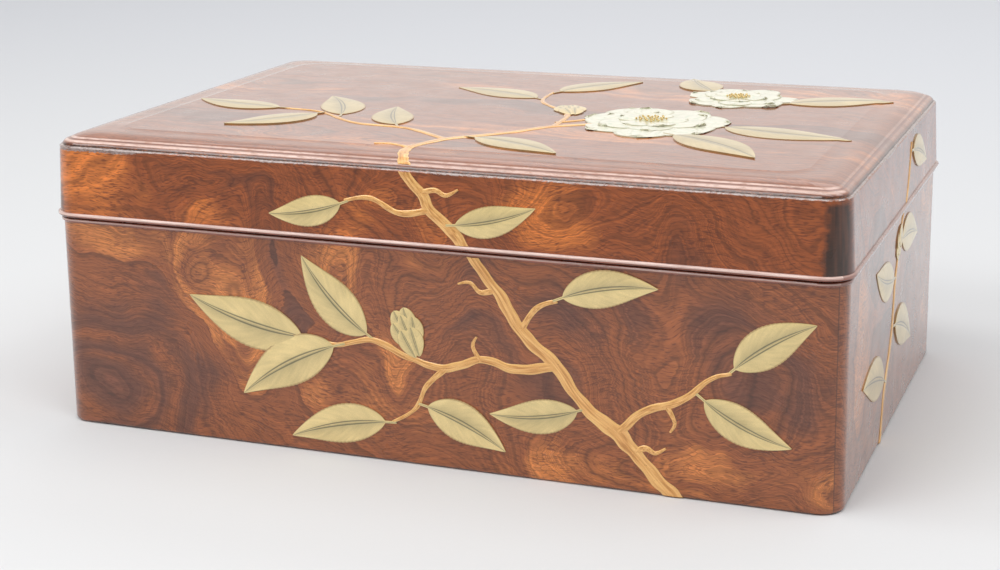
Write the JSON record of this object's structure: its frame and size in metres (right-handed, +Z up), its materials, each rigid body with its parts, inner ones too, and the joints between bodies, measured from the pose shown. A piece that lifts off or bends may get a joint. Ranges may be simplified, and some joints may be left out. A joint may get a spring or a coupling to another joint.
{
  "type": "tea ceremony box",
  "caption": "Low rectangular lacquered wood box for tea utensils, with a lift-off lid, beaded seam, rounded corners and a hanging inner tray.",
  "frame": {"origin": "middle of the box's underside, on the plane it stands on", "axes": "+X along the box's length towards its right end, +Y from the front to the back, +Z up out of the box"},
  "size_m": [0.4054, 0.2694, 0.1504],
  "materials": {
    "base_figured_wood": "gloss lacquer",
    "lid_figured_wood": "gloss lacquer",
    "top_figured_wood": "gloss lacquer",
    "bead_lacquer": "gloss lacquer",
    "lip_lacquer": "gloss lacquer",
    "bottom_wood": "satin",
    "tray_flange_lacquer": "gloss lacquer",
    "tray_lacquer": "gloss lacquer",
    "peg_wood": "natural"
  },
  "bodies": {
    "base": {"base_wall_front": "base_figured_wood", "base_wall_right": "base_figured_wood", "base_wall_back": "base_figured_wood", "base_wall_left": "base_figured_wood", "base_bottom": "bottom_wood", "base_lip_front": "lip_lacquer", "base_lip_right": "lip_lacquer", "base_lip_back": "lip_lacquer", "base_lip_left": "lip_lacquer", "base_bead_front": "bead_lacquer", "base_bead_right": "bead_lacquer", "base_bead_back": "bead_lacquer", "base_bead_left": "bead_lacquer", "base_pegs": "peg_wood", "base_tongues": "peg_wood"},
    "tray": {"tray_wall_front": "tray_lacquer", "tray_wall_right": "tray_lacquer", "tray_wall_back": "tray_lacquer", "tray_wall_left": "tray_lacquer", "tray_bottom": "tray_lacquer", "tray_flange_front": "tray_flange_lacquer", "tray_flange_right": "tray_flange_lacquer", "tray_flange_back": "tray_flange_lacquer", "tray_flange_left": "tray_flange_lacquer"},
    "lid": {"lid_top": "top_figured_wood", "lid_wall_front": "lid_figured_wood", "lid_wall_right": "lid_figured_wood", "lid_wall_back": "lid_figured_wood", "lid_wall_left": "lid_figured_wood", "lid_bead_front": "bead_lacquer", "lid_bead_right": "bead_lacquer", "lid_bead_back": "bead_lacquer", "lid_bead_left": "bead_lacquer", "lid_dowels": "peg_wood", "lid_tongues": "peg_wood"}
  },
  "joints": [
    {"name": "tray_lift", "type": "slide", "parent": "base", "child": "tray", "axis": [0, 0, 1], "range_m": [0, 0.16]},
    {"name": "lid_lift", "type": "slide", "parent": "tray", "child": "lid", "axis": [0, 0, 1], "range_m": [0, 0.12]}
  ]
}
